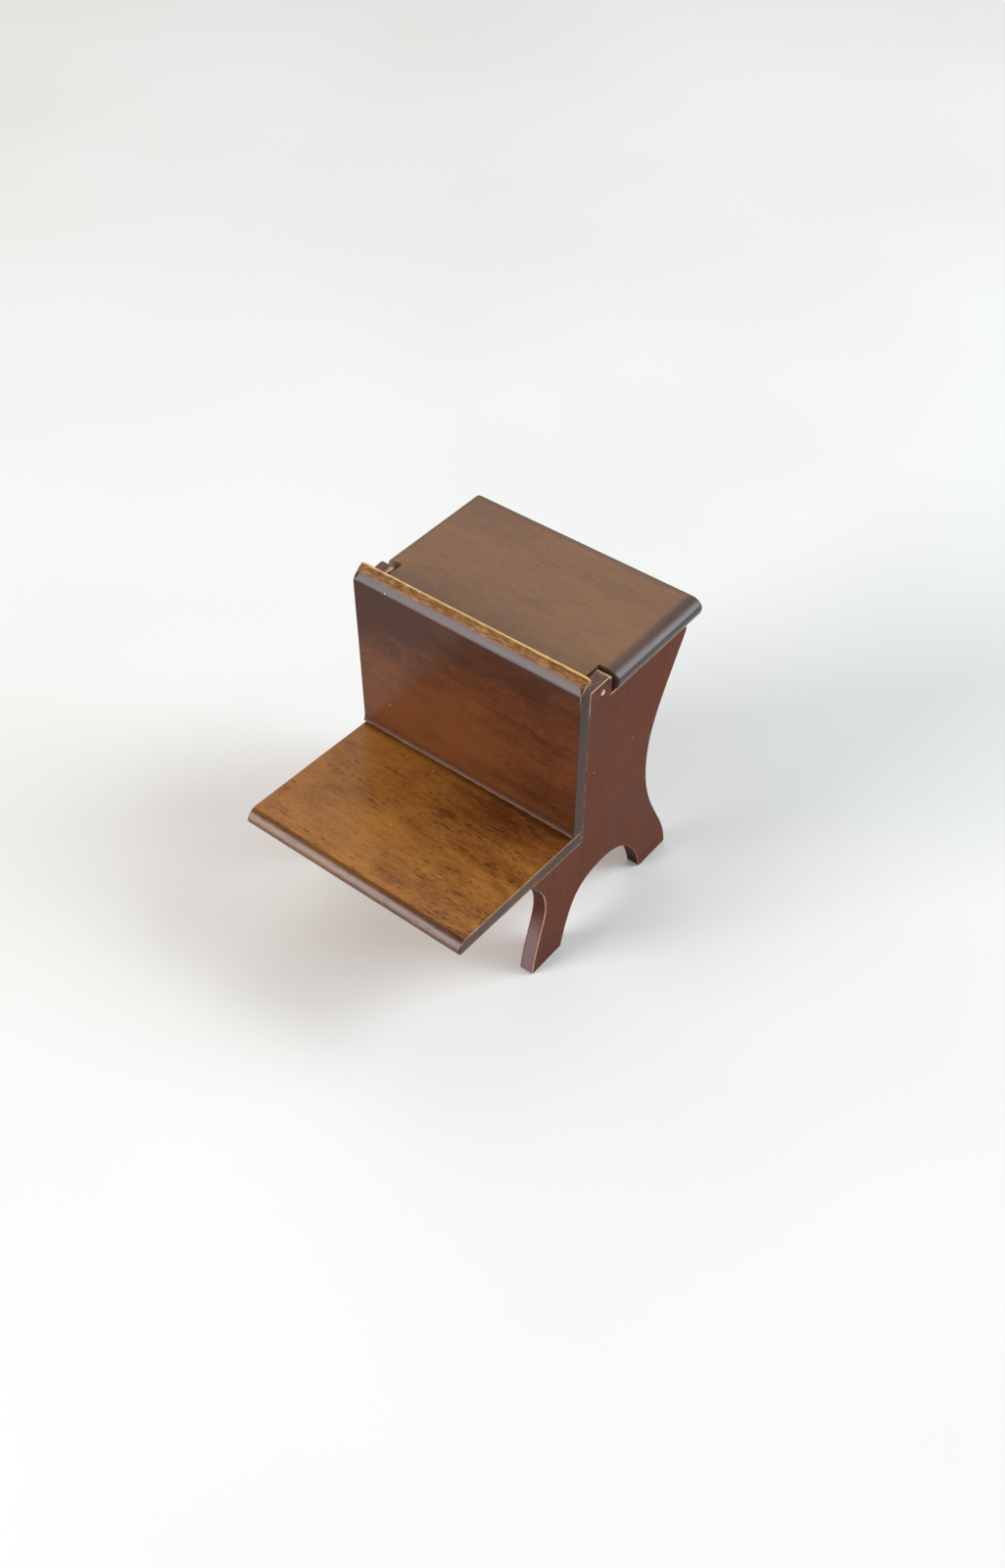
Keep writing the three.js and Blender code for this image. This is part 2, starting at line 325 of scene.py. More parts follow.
def stack(slices, places, to_space):
    """A closed solid from slices, each a list of matching loops: the outline and then its holes.

    Returns vertices in space, faces, and each vertex's own 2-D point and place along the stack.
    """
    flat, along, faces = [], [], []
    sizes = [len(loop) for loop in slices[0]]
    per_slice = sum(sizes)
    for loops, place in zip(slices, places):
        flat += [p for loop in loops for p in loop]
        along += [place] * per_slice
    for k in range(len(slices) - 1):
        start = 0
        for size in sizes:
            for i in range(size):
                a, b = k * per_slice + start + i, k * per_slice + start + (i + 1) % size
                faces.append((a, b, b + per_slice, a + per_slice))
            start += size
    for k in (0, len(slices) - 1):
        grid, triangles = fill_face([np.array(loop) for loop in slices[k]])
        base = len(flat)
        flat += list(grid)
        along += [places[k]] * len(grid)
        for t in triangles:
            faces.append(tuple(k * per_slice + i if i < per_slice else base + i - per_slice for i in t))
    flat, along = np.array(flat), np.array(along)
    return to_space(flat, along), faces, flat, along


def along_x(flat, along):
    return np.column_stack((along, flat[:, 0], flat[:, 1]))


def along_z(flat, along):
    return np.column_stack((flat[:, 0], flat[:, 1], along))


def board(outline, low, high, radius=ARRIS, step=BOARD_STEP):
    """A solid of one outline from low to high along X, with rounded ends; it returns what stack does."""
    slices, places = [], []
    for place, amount in rounded_ends(high - low, radius, step):
        slices.append([inset(outline, amount)])
        places.append(low + place)
    return stack(slices, places, along_x)


def lean_left(points):
    """The left end of the desk leans outwards a little, more the higher it is."""
    share = smoothstep(-20, -24, points[:, 0]) * points[:, 2] / PANEL_HIGH[2]
    points[:, 0] -= LEFT_LEAN * share
    return points


def waver(points, amount=0.03, size=9.0, seed=0):
    """Small unevenness of boards that were cut and sanded by hand."""
    shift = Vector((3.7 * seed, 1.9 * seed, 5.3 * seed))
    moved = [noise.noise_vector(Vector(p) / size + shift) for p in points]
    return points + amount * np.array(moved)


def make_piece(name, points, faces, material, attributes):
    """A mesh object in metres of the row frame, from points in millimetres with Y from the backrest."""
    placed = (points + np.array((0, Y_ZERO, 0))) * MM
    mesh = bpy.data.meshes.new(name)
    mesh.from_pydata([tuple(p) for p in placed], [], faces)
    for key, values in attributes.items():
        layer = mesh.attributes.new(key, "FLOAT", "POINT")
        layer.data.foreach_set("value", np.asarray(values, np.float32))
    tidy = bmesh.new()
    tidy.from_mesh(mesh)
    bmesh.ops.recalc_face_normals(tidy, faces=tidy.faces)
    tidy.to_mesh(mesh)
    tidy.free()
    mesh.shade_smooth()
    mesh.materials.append(material)
    piece = bpy.data.objects.new(name, mesh)
    bpy.context.scene.collection.objects.link(piece)
    return piece


def even_normals(piece):
    """Keeps flat faces flat next to their rounded edges."""
    weighted = piece.modifiers.new("even_normals", "WEIGHTED_NORMAL")
    weighted.weight = 80
    weighted.keep_sharp = False


def stand_in(piece, node, body):
    """Puts a piece in the place of a CAD node, on its body."""
    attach(piece, body)
    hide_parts(node)


def edge_mask(flat, along, outline, ends, corners=(), near=0.06, far=0.28):
    """1 on the board's edges and 0 a little way from them."""
    to_outline = distance(flat, outline)
    to_end = np.minimum(np.abs(along - ends[0]), np.abs(along - ends[1]))
    gap = np.hypot(to_outline, to_end)
    for corner in corners:
        gap = np.minimum(gap, np.hypot(flat[:, 0] - corner[0], flat[:, 1] - corner[1]))
    return 1 - smoothstep(near, far, gap)


def through_edge(flat, along, outline, ends):
    """1 on the sawn edge between a board's two faces and 0 on the faces."""
    to_end = np.minimum(np.abs(along - ends[0]), np.abs(along - ends[1]))
    return smoothstep(0.12, 0.4, to_end) * (1 - smoothstep(0.05, 0.2, distance(flat, outline)))


# ---------------------------------------------------------------- pieces


def thumbnail(front, top, size, curve):
    """A rounded front edge, from the flat top forwards and down: gentle at first, steep at its end."""
    back, drop = size
    start, end = (front + back, top), (front, top - drop)
    handles = [(front + share[0] * back, top - share[1] * drop) for share in curve]
    return [(*start, 0)] + curved(start, *handles, end, count=16)


def seat_top(y):
    """The height of the seat's sloping top at a place along Y."""
    return SEAT_HIGH[2] - SEAT_RISE * (y - (SEAT_LOW[1] - Y_ZERO))


def side_name(side):
    return "right" if side > 0 else "left"


def panel_outline(ear_top, ear_rear, ear_round):
    """A side panel seen from the right: Y across and Z up, anticlockwise."""
    below = SEAT_THICKNESS + GLUE_GAP
    front, ledge = BACKREST_REAR + GLUE_GAP, PANEL_LOW[1] - Y_ZERO
    seat_rear, seat_front = (front, seat_top(front) - below), (ledge, seat_top(ledge) - below)
    toe_in, heel_in = TOE + FOOT_LENGTH, HEEL - FOOT_LENGTH
    corners = [(TOE, 0, FOOT_ROUND), (toe_in, 0, ARCH_FOOT_ROUND)]
    corners += curved((toe_in, 0), *ARCH_FRONT, ARCH_CROWN)
    corners += curved(ARCH_CROWN, *ARCH_REAR, (heel_in, 0))[:-1]
    corners += [(heel_in, 0, ARCH_FOOT_ROUND), (HEEL, 0, FOOT_ROUND)]
    corners += curved((HEEL, 0), *REAR_LEG, WAIST)
    corners += curved(WAIST, *REAR_SIDE, (PANEL_REAR, PANEL_TOP - 1.6))
    corners += [(PANEL_REAR + past, PANEL_TOP - drop, 0) for past, drop in REAR_CORNER]
    corners += [(ear_rear, PANEL_TOP, 0.2), (ear_rear, ear_top, ear_round), (front, PANEL_HIGH[2], 0.3)]
    corners += [(*seat_rear, 0.12), (*seat_front, 0.35)]
    corners += curved(seat_front, *LEDGE_SIDE, FRONT_WAIST)
    corners += curved(FRONT_WAIST, *FRONT_LEG, (TOE, 0))[:-1]
    return split_long(rounded(corners))


def panel_solid(side, outline):
    """A side panel from its inner to its outer face, with the hole that its hinge pin sits in."""
    centre = np.array((HINGE_Y, HINGE_Z))
    hole = np.array(arc(centre, 1, 0, 360, PIN_BORE_SIDES)[:-1])[::-1]
    slices, places = [], []
    for place, amount in rounded_ends(HALF_WIDTH - INNER_HALF_WIDTH, ARRIS, PANEL_STEP):
        radius = PIN_BORE + amount * PIN_BORE_FLARE
        slices.append([inset(outline, amount), centre + (hole - centre) * radius])
        places.append(side * (INNER_HALF_WIDTH + place))
    return stack(slices, places, along_x)


def panel_marks(y, z, depth, edges, sawn, on_ear, ear_top):
    """How worn, darkened and greyed a side panel is at each point; some of the darkening is painted shade
    and some of the greying a painted sheen.
    """
    front_leg = smoothstep(27, 22, z) * smoothstep(0, -5, y)
    worn = edges * (0.55 + 0.35 * front_leg)
    worn = np.maximum(worn, edges * smoothstep(PANEL_TOP - 0.6, PANEL_TOP - 0.3, z))
    worn *= 1 - 0.75 * smoothstep(INNER_HALF_WIDTH + 0.5, INNER_HALF_WIDTH, depth)
    worn = np.maximum(worn, 0.3 * on_ear * smoothstep(ear_top - 0.3, ear_top - 0.05, z))
    # Painted shade: the rear foot's arch edge and the front leg's edge under the ledge are darkened
    # towards the deep colour; all sawn edges are a little darker besides.
    arch_rear = sawn * smoothstep(12, 18, y) * smoothstep(16, 14, z) * smoothstep(27.5, 26.5, y)
    under_ledge = sawn * front_leg * smoothstep(17, 24, z)
    stain_and_shade = np.maximum.reduce([0.45 * sawn, arch_rear, under_ledge]) * (1 - 0.8 * on_ear)
    # Painted sheen: the front leg's lower sawn edge is greyed towards the bluish-grey colour; the ears'
    # sawn tops are greyed a little.
    low_front = front_leg * smoothstep(17, 9, z) * smoothstep(-5.5, -7.5, y)
    bloom_and_sheen = sawn * np.maximum(0.25 * on_ear, 0.42 * low_front)
    return {"worn": worn, "stain_and_shade": stain_and_shade, "bloom_and_sheen": bloom_and_sheen, "tone_and_light": 0 * z}


def side_panel(side, material):
    ear_top = PANEL_HIGH[2] + (LEFT_EAR_EXTRA if side < 0 else 0)
    ear_rear, ear_round = (LEFT_EAR_REAR, LEFT_EAR_ROUND) if side < 0 else (EAR_REAR, EAR_ROUND)
    outline = panel_outline(ear_top, ear_rear, ear_round)
    points, faces, flat, along = panel_solid(side, outline)
    ends = (side * INNER_HALF_WIDTH, side * HALF_WIDTH)
    edges = edge_mask(flat, along, outline, ends)
    sawn = through_edge(flat, along, outline, ends)
    y, z, depth = flat[:, 0], flat[:, 1], np.abs(along)
    on_ear = smoothstep(PANEL_TOP + 0.5, PANEL_TOP + 2, z) * smoothstep(ear_rear + 1, ear_rear - 1, y)
    marks = panel_marks(y, z, depth, edges, sawn, on_ear, ear_top)
    points = waver(points, seed=1 + side)
    if side < 0:
        points, rubbed = chamfer_ear(points, depth, z, ear_top, on_ear)
        points = lean_left(points)
    else:
        points, rubbed = chip_ear(points, y, z, ear_top, on_ear)
    marks["worn"] = np.maximum(marks["worn"], rubbed)
    piece = make_piece("side_panel_" + side_name(side), points, faces, material, marks)
    even_normals(piece)
    stand_in(piece, side_name(side) + "_side_panel", "desk")


def chamfer_ear(points, depth, z, ear_top, on_ear):
    """The left ear's top slopes down and is rubbed pale along its inner side."""
    width, drop = 0.9, 0.4
    share = smoothstep(INNER_HALF_WIDTH + width, INNER_HALF_WIDTH, depth)
    share *= smoothstep(ear_top - 0.5, ear_top - 0.2, z)
    points[:, 2] -= drop * share * on_ear
    return points, np.minimum(1.0, 1.6 * share) * on_ear


def chip_ear(points, y, z, ear_top, on_ear):
    """The right ear has lost small chips along its rear top edge."""
    share = on_ear * smoothstep(1.6, 0.2, np.hypot(y - EAR_REAR, z - ear_top))
    rough = np.array([noise.noise(Vector(p) * 2.3) for p in points])
    depth = share * np.clip(rough + 0.25, 0, 1) * 0.35
    points[:, 1] -= depth
    points[:, 2] -= depth
    return points, share * 1.1


def backrest_outline():
    """The backrest seen from the right, with its rounded top and its spread foot."""
    flare_top = (0, BACKREST_FOOT + FLARE_HEIGHT)
    first = (0, BACKREST_FOOT + 0.6 * FLARE_HEIGHT)
    second = (-0.3 * FLARE_DEPTH, BACKREST_FOOT + 0.3 * FLARE_HEIGHT)
    corners = [(BACKREST_REAR, BACKREST_FOOT, 0.12), (BACKREST_REAR, CROWN_TOP, 0.2)]
    corners += thumbnail(0, CROWN_TOP, CROWN, CROWN_CURVE)
    corners += [(*flare_top, 0)] + curved(flare_top, first, second, FLARE_TIP, count=8)
    corners += [(0.2, BACKREST_FOOT, 0)]
    return split_long(rounded(corners))


def backrest_marks(y, z, along, edges):
    """How worn, darkened and light or dark the backrest is at each point, with painted light and shade
    among them.
    """
    rear_edge = 1 - smoothstep(0.3, 0.8, np.hypot(y - BACKREST_REAR, z - CROWN_TOP))
    foot_edge = 1 - smoothstep(0.15, 0.35, np.hypot(y - FLARE_TIP[0], z - FLARE_TIP[1]))
    upper_round = smoothstep(CROWN_TOP - 1.7, CROWN_TOP - 1.0, z)
    worn = np.maximum.reduce([
        edges * (0.2 + 0.4 * smoothstep(66, 70, z)),
        rear_edge * (0.8 + 0.25 * smoothstep(0, 28, along)),
        foot_edge * 0.45,
        upper_round * 0.37,
    ])
    below = CROWN_TOP - z
    # Darker over the lower part of the rounded top edge and on the end faces; painted shade on the spread
    # foot where it meets the seat.
    crown_front = smoothstep(1.4, 2.1, below) * smoothstep(CROWN[1] + 0.5, CROWN[1] - 0.2, below)
    foot_band = smoothstep(BACKREST_FOOT + 2.4, BACKREST_FOOT + 1.2, z) * (1 - foot_edge)
    ends = smoothstep(HALF_WIDTH - 0.3, HALF_WIDTH - 0.05, np.abs(along))
    stain_and_shade = np.maximum.reduce([0.5 * foot_band, 0.5 * crown_front, 0.75 * ends * (1 - edges)])
    # Painted shade towards the top of the front face and at its upper left, lighter low in the middle, and
    # a painted sheen that lightens the rounded top edge.
    upper_left = smoothstep(-4, -24, along) * smoothstep(48, 64, z)
    lighter_low_middle = smoothstep(62, 42, z) * smoothstep(27, 10, np.abs(along + 8))
    shade = 0.3 * smoothstep(56, 66, z) + 0.3 * upper_left
    tone_and_light = 0.35 * lighter_low_middle - shade * (1 - upper_round) + 0.55 * upper_round
    return {"worn": worn, "stain_and_shade": stain_and_shade, "tone_and_light": tone_and_light}


def lower_crown_ends(points, z, along):
    """The rounded top edge falls away a little at its two ends."""
    end = np.clip((np.abs(along) - HALF_WIDTH) / CROWN_END + 1, 0, 1)
    fall = CROWN_END_FALL * (1 - np.sqrt(1 - end**2))
    points[:, 2] -= fall * smoothstep(CROWN_TOP - 3, CROWN_TOP - 1, z)
    return points


def backrest(material):
    outline = backrest_outline()
    points, faces, flat, along = board(outline, -HALF_WIDTH, HALF_WIDTH)
    y, z = flat[:, 0], flat[:, 1]
    edges = edge_mask(flat, along, outline, (-HALF_WIDTH, HALF_WIDTH))
    marks = backrest_marks(y, z, along, edges)
    points = lean_left(lower_crown_ends(waver(points, seed=4), z, along))
    piece = make_piece("backrest_board", points, faces, material, marks)
    even_normals(piece)
    stand_in(piece, "backrest", "desk")


def seat_outline():
    """The seat seen from the right, with its rounded front edge."""
    rear_top = seat_top(SEAT_REAR)
    corners = [(SEAT_FRONT, seat_top(SEAT_FRONT) - SEAT_THICKNESS, SEAT_UNDER)]
    corners += [(SEAT_REAR, rear_top - SEAT_THICKNESS, 0.25), (SEAT_REAR, rear_top, 0.2)]
    corners += thumbnail(SEAT_FRONT, SEAT_HIGH[2], SEAT_NOSE, NOSE_CURVE)
    return split_long(rounded(corners))


def seat_marks(y, z, along, edges):
    """How worn, darkened and light or dark the seat is at each point, with painted light and shade among
    them.
    """
    upper = smoothstep(-1.6, -0.6, z - seat_top(y))
    worn = edges * (0.05 + 0.45 * upper)
    ends = smoothstep(HALF_WIDTH - 0.3, HALF_WIDTH - 0.05, np.abs(along)) * (1 - edges)
    nose_back = SEAT_FRONT + SEAT_NOSE[0]
    on_nose = smoothstep(nose_back + 0.1, nose_back - 0.5, y)
    # Painted shade along the joint with the backrest; darker on the end faces and over the rounded nose.
    stain_and_shade = np.maximum.reduce([0.5 * smoothstep(-1.3, -0.6, y), 0.9 * ends, 0.75 * on_nose])
    # Painted sheen lightens the left, painted shade darkens the right and the part near the backrest; a
    # faint dark blotch besides.
    behind = smoothstep(-18, -1, y) * smoothstep(-18, 8, along)
    blotch = np.exp(-(((along - 4) / 13) ** 2) - ((y + 9) / 8) ** 2)
    tone_and_light = 0.18 - 0.26 * smoothstep(-4, 16, along) - 0.24 * behind - 0.05 * blotch
    return {"worn": worn, "stain_and_shade": stain_and_shade, "tone_and_light": tone_and_light}


def seat(material):
    outline = seat_outline()
    points, faces, flat, along = board(outline, -HALF_WIDTH, HALF_WIDTH)
    edges = edge_mask(flat, along, outline, (-HALF_WIDTH, HALF_WIDTH), near=0.08, far=0.3)
    marks = seat_marks(flat[:, 0], flat[:, 1], along, edges)
    piece = make_piece("seat_board", waver(points, seed=6), faces, material, marks)
    even_normals(piece)
    stand_in(piece, "seat", "desk")


def lid_half(tongue, side_in, edge_in, nose_in):
    """One half of the lid from above, from the middle of its front to the middle of its rear."""
    wide = LID_HIGH[0] - side_in
    rear = LID_REAR - edge_in
    shoulder = LID_SHOULDER + TONGUE_EASE * edge_in
    nose = LID_LOW[1] - Y_ZERO + nose_in
    tongue -= TONGUE_EASE * edge_in
    corners = [(0, nose), (tongue, nose), (tongue, shoulder), (wide, shoulder), (wide, rear), (0, rear)]
    radii = [0, 0.5, 0.25, LID_CORNER, LID_CORNER, 0]
    counts = (38, 12, 4, 26, 30)
    points = [np.array(corners[0], float)]
    for i in range(1, len(corners) - 1):
        turned = fillet(corners[i - 1], corners[i], corners[i + 1], radii[i], 6)
        gap = turned[0] - points[-1]
        points += [points[-1] + gap * s for s in spread(counts[i - 1])]
        points += turned
    last = np.array(corners[-1], float)
    points += [points[-1] + (last - points[-1]) * s for s in spread(counts[-1])]
    return np.array(points + [last])


def lid_slice(roll, under, edge_in, nose_in):
    """The lid from above at one height, anticlockwise; roll is the share of its sides' roll-over."""
    right = lid_half(TONGUE_RIGHT, LID_ROLL * roll + LID_UNDER * under, edge_in, nose_in)
    left = lid_half(TONGUE_LEFT, LID_ROLL_LEFT * roll + LID_UNDER * under, edge_in, nose_in)
    return np.concatenate((right, left[1:-1][::-1] * np.array((-1, 1))))


def spread(count):
    """Shares of an edge between its ends, closer together near both ends."""
    t = np.linspace(0, 1, count + 2)[1:-1]
    return 0.45 * t + 0.55 * (1 - np.cos(math.pi * t)) / 2


def roundness(share):
    """How far in a quarter circle lies, out of 1, at a share of its height."""
    return 1 - math.sqrt(max(0.0, 1 - share**2))


def lid_levels():
    """Height, shares of the roll-over and of the rounding below it, and insets of the plain edges and the
    nose, for every slice of the lid from below."""
    low, high = LID_LOW[2], LID_HIGH[2]
    angles = (0, 5, 10, 15, 20, 26, 33, 41, 50, 60, 70, 80, 90)
    drops = [LID_RADIUS * (1 - math.cos(math.radians(a))) for a in angles]
    heights = [low + d for d in drops] + [high - d for d in reversed(drops[:-1])]
    curve = np.array([(0, 0)] + bezier((0, 0), (0.55, 0), (1, 0.58), (1, 1), count=60))
    levels = []
    for height in heights:
        depth = high - height
        roll = 1 - np.interp(depth / LID_ROLL_DROP, curve[:, 1], curve[:, 0])
        under = roundness(max(0.0, (depth - LID_ROLL_DROP) / (high - low - LID_ROLL_DROP)))
        nose_in = LID_RADIUS * roundness(abs(depth / LID_RADIUS - 1))
        edge_in = LID_EDGE * roundness(max(0.0, 1 - min(depth, height - low) / LID_EDGE))
        levels.append((height, roll, under, edge_in, nose_in))
    return levels


def lid_marks(x, y, z, edges):
    """How worn, darkened and light or dark the lid is at each point, with painted shade on its right
    roll-over.
    """
    top, wide = LID_HIGH[2], LID_HIGH[0]
    right_roll = smoothstep(wide - LID_ROLL - 0.3, wide - LID_ROLL + 0.9, x)
    left_roll = smoothstep(wide - 1.4, wide - 0.7, -x)
    behind_ear = smoothstep(10.5, 11.3, y)
    right_side = right_roll * (0.6 + 0.35 * smoothstep(top - 0.6, LID_MIDDLE, z))
    rear_edge = smoothstep(0.9, 0.35, LID_REAR - y) * smoothstep(LID_MIDDLE, LID_MIDDLE + 0.3, z)
    # Darker over the rolled sides behind the ears and along the rear edge; the right roll-over darker
    # still towards its lower half, as painted shade.
    stain_and_shade = np.maximum(behind_ear * (right_side + 0.5 * left_roll), 0.5 * rear_edge)
    rub = np.exp(-(((x - 23) / 2.4) ** 2) - ((y - LID_REAR + 1.6) / 1.0) ** 2)
    worn = np.maximum(edges * 0.15, rub * smoothstep(top - 0.6, top - 0.1, z) * 0.55)
    tone_and_light = 0.12 * smoothstep(-10, 25, x) * smoothstep(35, 12, y)
    tone_and_light -= 0.2 * smoothstep(2, -24, x) * smoothstep(24, 36, y)
    return {"worn": worn, "stain_and_shade": stain_and_shade, "tone_and_light": tone_and_light}


def lid(material):
    slices, places = [], []
    for height, *shares in lid_levels():
        slices.append([lid_slice(*shares)])
        places.append(height)
    points, faces, flat, along = stack(slices, places, along_z)
    edges = edge_mask(flat, along, lid_slice(0, 0, 0, 0), (LID_LOW[2], LID_HIGH[2]))
    marks = lid_marks(flat[:, 0], flat[:, 1], along, edges)
    points = waver(points, amount=0.025, seed=9)
    piece = make_piece("lid_board", points, faces, material, marks)
    bore_lid(piece)
    even_normals(piece)
    stand_in(piece, "lid", "desk_lid")


def bore_lid(piece):
    """Drills the two holes that turn on the hinge pins."""
    inner = PIN_LOW[0] - 0.3
    for side in (-1, 1):
        middle = side * (inner + HALF_WIDTH) / 2
        cutter_mesh = bpy.data.meshes.new("bore_cutter")
        cutter = bpy.data.objects.new("bore_cutter", cutter_mesh)
        shape = bmesh.new()
        bmesh.ops.create_cone(shape, cap_ends=True, segments=LID_BORE_SIDES, radius1=LID_BORE * MM,
                              radius2=LID_BORE * MM, depth=(HALF_WIDTH - inner) * MM)
        place = Vector((middle, HINGE_Y + Y_ZERO, HINGE_Z)) * MM
        shape.transform(Matrix.Translation(place) @ Matrix.Rotation(math.pi / 2, 4, "Y"))
        shape.to_mesh(cutter_mesh)
        shape.free()
        bpy.context.scene.collection.objects.link(cutter)
        cut = piece.modifiers.new("bore", "BOOLEAN")
        cut.object, cut.operation, cut.solver = cutter, "DIFFERENCE", "EXACT"
        bpy.context.view_layer.update()
        graph = bpy.context.evaluated_depsgraph_get()
        cut_mesh = bpy.data.meshes.new_from_object(
            piece.evaluated_get(graph), preserve_all_data_layers=True, depsgraph=graph)
        piece.modifiers.clear()
        old = piece.data
        cut_mesh.name = piece.name
        piece.data = cut_mesh
        bpy.data.meshes.remove(old)
        bpy.data.objects.remove(cutter)
        bpy.data.meshes.remove(cutter_mesh)


def plain_board(name, node, low, high, material, seed):
    """A board of the desk box, its edges only eased."""
    y_low, y_high = low[1] - Y_ZERO, high[1] - Y_ZERO
    square = [(y_low, low[2]), (y_high, low[2]), (y_high, high[2]), (y_low, high[2])]
    outline = split_long(rounded([(*corner, INNER_CORNER) for corner in square]))
    points, faces, flat, along = board(outline, low[0], high[0], INNER_ARRIS, INNER_STEP)
    edges = edge_mask(flat, along, outline, (low[0], high[0]), corners=square)
    marks = {"worn": edges * 0.5, "stain_and_shade": 0 * along, "tone_and_light": 0 * along}
    points = lean_left(waver(points, seed=seed))
    piece = make_piece(name, points, faces, material, marks)
    even_normals(piece)
    stand_in(piece, node, "desk")


def pin_profile():
    """Radius and distance from the inner end: a tapered tip, the shank, and a slightly domed end."""
    dome = [
        (PIN_RADIUS * math.sin(a), PIN_LENGTH - PIN_DOME * (1 - math.cos(a)))
        for a in np.linspace(0, math.pi / 2, 7)
    ]
    profile = list(PIN_TIP) + [(PIN_RADIUS, place) for place in PIN_SHANK]
    return profile + [(radius, place - PIN_DOME_BACK) for radius, place in reversed(dome[1:])]


def hinge_pin(side, material):
    """A wire nail: a tapered tip in the lid, and a slightly domed, filed end outside."""
    profile = pin_profile()
    points, faces = [], []
    for radius, place in profile:
        for k in range(PIN_SIDES):
            a = 2 * math.pi * k / PIN_SIDES
            x = side * (PIN_LOW[0] + place)
            points.append((x, HINGE_Y + radius * math.cos(a), HINGE_Z + radius * math.sin(a)))
    for row in range(len(profile) - 1):
        for k in range(PIN_SIDES):
            a, b = row * PIN_SIDES + k, row * PIN_SIDES + (k + 1) % PIN_SIDES
            faces.append((a, b, b + PIN_SIDES, a + PIN_SIDES))
    points.append((side * PIN_LOW[0], HINGE_Y, HINGE_Z))
    points.append((side * (PIN_LOW[0] + PIN_LENGTH), HINGE_Y, HINGE_Z))
    last = (len(profile) - 1) * PIN_SIDES
    for k in range(PIN_SIDES):
        faces.append(((k + 1) % PIN_SIDES, k, len(points) - 2))
        faces.append((last + k, last + (k + 1) % PIN_SIDES, len(points) - 1))
    points = np.array(points)
    if side < 0:
        points = lean_left(points)
    piece = make_piece("hinge_pin_" + side_name(side), points, faces, material, {})
    stand_in(piece, side_name(side) + "_hinge_pin", "desk")


# ---------------------------------------------------------------- materials


def srgb(red, green, blue):
    """A linear colour from display values out of 255."""
    def linear(value):
        value /= 255
        return value / 12.92 if value <= 0.04045 else ((value + 0.055) / 1.055) ** 2.4
    return (linear(red), linear(green), linear(blue), 1.0)


BLOOM_AND_SHEEN = srgb(134, 120, 126)  # the greyed stain on sawn edges, also used as a painted bluish-grey sheen on the front legs
DUST = srgb(205, 190, 170)
COAT_ROUGHNESS = 0.22


class Graph:
    """Short calls for making and joining the nodes of a material."""

    def __init__(self, name):
        self.material = bpy.data.materials.new(name)
        self.material.use_nodes = True
        self.tree = self.material.node_tree
        self.tree.nodes.clear()

    def node(self, kind, inputs=(), **settings):
        made = self.tree.nodes.new(kind)
        for key, value in settings.items():
            setattr(made, key, value)
        for key, value in dict(inputs).items():
            self.put(made.inputs[key], value)
        return made

    def put(self, socket, value):
        if isinstance(value, bpy.types.NodeSocket):
            self.tree.links.new(value, socket)
        else:
            socket.default_value = value

    def math(self, operation, first, second=0.0):
        made = self.node("ShaderNodeMath", {0: first, 1: second}, operation=operation)
        return made.outputs[0]

    def scaled(self, vector, factors):
        made = self.node("ShaderNodeVectorMath", {0: vector, 1: factors}, operation="MULTIPLY")
        return made.outputs[0]

    def noise(self, vector, detail=2.0, roughness=0.5, distortion=0.0):
        inputs = {"Vector": vector, "Scale": 1.0, "Detail": detail, "Roughness": roughness,
                  "Distortion": distortion}
        return self.node("ShaderNodeTexNoise", inputs).outputs["Fac"]

    def spots(self, vector, along, across, detail=2.0, roughness=0.5, distortion=0.0):
        """Noise in spots of this length along the grain and this width across it, in millimetres."""
        scales = (1 / along, 1 / across, 1 / across)
        return self.noise(self.scaled(vector, scales), detail, roughness, distortion)

    def centred(self, value, amount):
        """How far a value lies from a half, times an amount."""
        return self.math("MULTIPLY", self.math("SUBTRACT", value, 0.5), amount)

    def remap(self, value, low, high, to_low=0.0, to_high=1.0):
        inputs = {"Value": value, "From Min": low, "From Max": high, "To Min": to_low, "To Max": to_high}
        return self.node("ShaderNodeMapRange", inputs, interpolation_type="SMOOTHSTEP").outputs[0]

    def mix(self, share, first, second, blend="MIX"):
        inputs = {0: share, 6: first, 7: second}
        made = self.node("ShaderNodeMix", inputs, data_type="RGBA", blend_type=blend)
        return made.outputs[2]

    def attribute(self, name):
        return self.node("ShaderNodeAttribute", attribute_name=name).outputs["Fac"]

    def bump(self, height, strength, distance):
        inputs = {"Height": height, "Strength": strength, "Distance": distance * MM}
        return self.node("ShaderNodeBump", inputs).outputs[0]

    def surface(self, inputs):
        """Ends the material with one shader; plain values go onto the shader's own sockets."""
        shader = self.node("ShaderNodeBsdfPrincipled", inputs)
        self.node("ShaderNodeOutputMaterial", {"Surface": shader.outputs[0]})
        return self.material


def grain_place(g, grain, offset):
    """Millimetres along the grain first and across it after, shifted so that no two boards are alike."""
    place = g.node("ShaderNodeTexCoord").outputs["Object"]
    mapping = {"Vector": place, "Location": (offset, offset * 0.7, offset * 1.3), "Scale": (1 / MM,) * 3}
    place = g.node("ShaderNodeMapping", mapping).outputs[0]
    if grain == "z":
        parts = g.node("ShaderNodeSeparateXYZ", {0: place}).outputs
        place = g.node("ShaderNodeCombineXYZ", {0: parts[2], 1: parts[1], 2: parts[0]}).outputs[0]
    drift = g.centred(g.spots(place, 30, 9, detail=1.0), 3.0)
    bend = g.node("ShaderNodeCombineXYZ", {1: drift, 2: drift}).outputs[0]
    return place, g.node("ShaderNodeVectorMath", {0: place, 1: bend}, operation="ADD").outputs[0]


